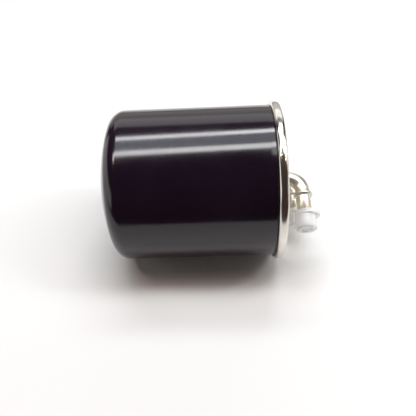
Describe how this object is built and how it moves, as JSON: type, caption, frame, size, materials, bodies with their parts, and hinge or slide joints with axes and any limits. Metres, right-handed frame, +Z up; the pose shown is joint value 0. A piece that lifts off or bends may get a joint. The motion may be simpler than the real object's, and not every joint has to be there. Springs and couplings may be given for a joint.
{
  "type": "fuel filter canister",
  "caption": "Crimped round filter canister with a domed end, a rolled-seam plated lid, elbow hose ports and push-on transport caps.",
  "frame": {"origin": "on the can's axis, in the plane where its straight wall ends at the rolled seam", "axes": "+X along the can's axis towards the hose ports, +Z up as the canister lies on its side, the port legs point to -Y and dip towards -Z"},
  "size_m": [0.1177, 0.0876, 0.0876],
  "materials": {
    "black_paint": "gloss",
    "bright_plate": "bright nickel",
    "seam_compound": "matte",
    "nickel_tube": "bright nickel",
    "braze": "satin",
    "milky_plastic": "translucent satin",
    "zinc_steel": "satin",
    "amber_adhesive": "cured resin",
    "filter_paper": "resin-cured paper",
    "hot_melt": "satin",
    "seal_rubber": "matte",
    "spring_steel": "oiled"
  },
  "bodies": {
    "canister": {"can": "black_paint", "lid": "bright_plate", "seam_gasket": "seam_compound", "outlet_elbow": "nickel_tube", "inlet_elbow": "nickel_tube", "outlet_braze": "braze", "inlet_braze": "braze", "upper_end_disc": "zinc_steel", "lower_end_disc": "zinc_steel", "upper_potting": "amber_adhesive", "lower_potting": "amber_adhesive", "pleated_paper": "filter_paper", "pleat_bands": "hot_melt", "seam_clip": "zinc_steel", "centre_tube": "zinc_steel", "neck_seal": "seal_rubber", "spring_seat": "zinc_steel", "support_spring": "spring_steel"},
    "outlet_cap": {"outlet_cap": "milky_plastic"},
    "inlet_cap": {"inlet_cap": "milky_plastic"}
  },
  "joints": [
    {"name": "outlet_cap_pull", "type": "slide", "parent": "canister", "child": "outlet_cap", "axis": [0, -0.9397, -0.342], "range_m": [0, 0.018]},
    {"name": "inlet_cap_pull", "type": "slide", "parent": "canister", "child": "inlet_cap", "axis": [0, -0.9397, -0.342], "range_m": [0, 0.018]}
  ]
}
